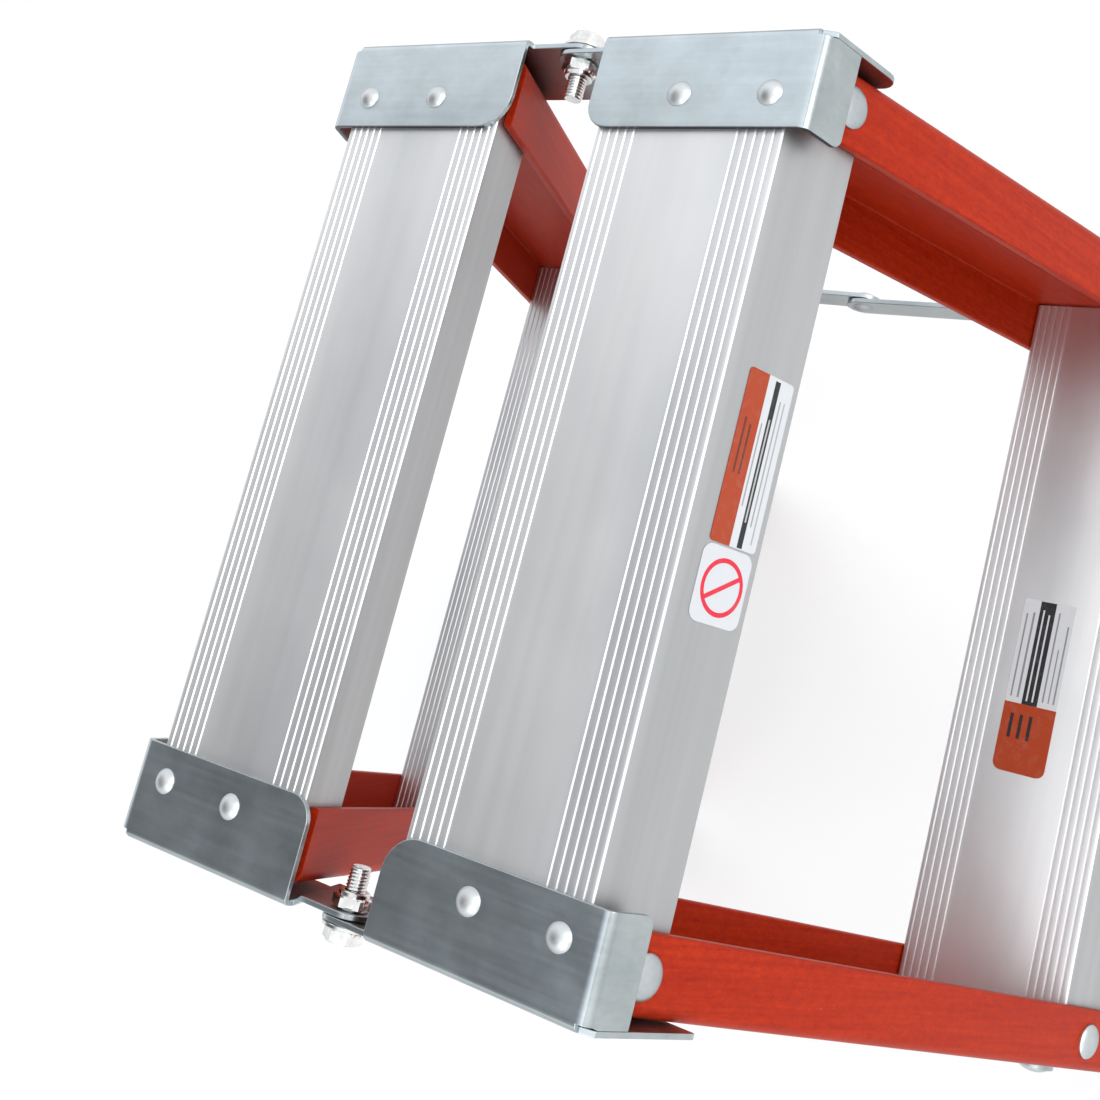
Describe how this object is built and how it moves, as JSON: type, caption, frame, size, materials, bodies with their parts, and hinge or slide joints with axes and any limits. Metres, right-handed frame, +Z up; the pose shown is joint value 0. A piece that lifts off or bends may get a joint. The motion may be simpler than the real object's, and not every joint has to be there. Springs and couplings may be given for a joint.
{
  "type": "twin-front stepladder",
  "caption": "Twin-front fibreglass stepladder: grooved aluminium treads on both sides, bolted top hinge, folding spreader bars, rubber-padded feet.",
  "frame": {"origin": "middle of the four feet, on the floor", "axes": "+Z up, X along the steps, the front side faces -Y and the rear side +Y"},
  "size_m": [0.4878, 1.0184, 1.1576],
  "materials": {
    "rail_fibreglass": "orange-red pultruded fibreglass, slightly grainy",
    "step_aluminium": "satin extruded",
    "bracket_steel": "galvanised sheet",
    "strap_steel": "galvanised strip",
    "rivet_zinc": "bright zinc-plated rivets",
    "bolt_zinc": "bright zinc-plated bolts",
    "shoe_aluminium": "satin extruded",
    "pad_rubber": "matt moulded rubber",
    "label_film": "printed film, plain colour blocks",
    "sticker_film": "printed film"
  },
  "bodies": {
    "front_section": {"front_left_rail": "rail_fibreglass", "front_right_rail": "rail_fibreglass", "front_step_1": "step_aluminium", "front_step_2": "step_aluminium", "front_step_3": "step_aluminium", "front_step_4": "step_aluminium", "front_left_bracket": "bracket_steel", "front_right_bracket": "bracket_steel", "front_bracket_rivets": "rivet_zinc", "front_step_rivets": "rivet_zinc", "front_left_knee_brace": "strap_steel", "front_right_knee_brace": "strap_steel", "front_brace_rivets": "rivet_zinc", "front_left_foot_shoe": "shoe_aluminium", "front_right_foot_shoe": "shoe_aluminium", "front_left_foot_pad": "pad_rubber", "front_right_foot_pad": "pad_rubber", "front_foot_rivets": "rivet_zinc", "front_spreader_pivots": "rivet_zinc", "left_hinge_bolt": "bolt_zinc", "right_hinge_bolt": "bolt_zinc", "hinge_washers": "bolt_zinc", "hinge_lock_nuts": "bolt_zinc", "top_step_label": "label_film", "top_step_sticker": "sticker_film", "second_step_label": "label_film"},
    "rear_section": {"rear_left_rail": "rail_fibreglass", "rear_right_rail": "rail_fibreglass", "rear_step_1": "step_aluminium", "rear_step_2": "step_aluminium", "rear_step_3": "step_aluminium", "rear_step_4": "step_aluminium", "rear_left_bracket": "bracket_steel", "rear_right_bracket": "bracket_steel", "rear_bracket_rivets": "rivet_zinc", "rear_step_rivets": "rivet_zinc", "rear_left_knee_brace": "strap_steel", "rear_right_knee_brace": "strap_steel", "rear_brace_rivets": "rivet_zinc", "rear_left_foot_shoe": "shoe_aluminium", "rear_right_foot_shoe": "shoe_aluminium", "rear_left_foot_pad": "pad_rubber", "rear_right_foot_pad": "pad_rubber", "rear_foot_rivets": "rivet_zinc", "rear_spreader_pivots": "rivet_zinc"},
    "front_left_spreader": {"front_left_spreader_bar": "strap_steel", "front_left_spreader_rivet": "rivet_zinc"},
    "front_right_spreader": {"front_right_spreader_bar": "strap_steel", "front_right_spreader_rivet": "rivet_zinc"},
    "rear_left_spreader": {"rear_left_spreader_bar": "strap_steel", "rear_left_spreader_rivet": "rivet_zinc"},
    "rear_right_spreader": {"rear_right_spreader_bar": "strap_steel", "rear_right_spreader_rivet": "rivet_zinc"}
  },
  "joints": [
    {"name": "rear_fold", "type": "hinge", "parent": "front_section", "child": "rear_section", "pos_m": [0, 0, 1.14078], "axis": [1, 0, 0], "range_deg": [-38, 0]},
    {"name": "front_left_spreader_swing", "type": "hinge", "parent": "front_section", "child": "front_left_spreader", "pos_m": [-0.19377, -0.18248, 0.80605], "axis": [1, 0, 0], "range_deg": [0, 52.64]},
    {"name": "front_right_spreader_swing", "type": "hinge", "parent": "front_section", "child": "front_right_spreader", "pos_m": [0.19377, -0.18248, 0.80605], "axis": [1, 0, 0], "range_deg": [0, 52.64]},
    {"name": "rear_left_spreader_swing", "type": "hinge", "parent": "rear_section", "child": "rear_left_spreader", "pos_m": [0.19377, 0.18248, 0.80605], "axis": [1, 0, 0], "range_deg": [-52.64, 0]},
    {"name": "rear_right_spreader_swing", "type": "hinge", "parent": "rear_section", "child": "rear_right_spreader", "pos_m": [-0.19377, 0.18248, 0.80605], "axis": [1, 0, 0], "range_deg": [-52.64, 0]}
  ],
  "couplings": [
    {"joint": "front_left_spreader_swing", "follows": "rear_fold", "ratio": -1.385},
    {"joint": "front_right_spreader_swing", "follows": "rear_fold", "ratio": -1.385},
    {"joint": "rear_left_spreader_swing", "follows": "rear_fold", "ratio": 1.385},
    {"joint": "rear_right_spreader_swing", "follows": "rear_fold", "ratio": 1.385}
  ]
}
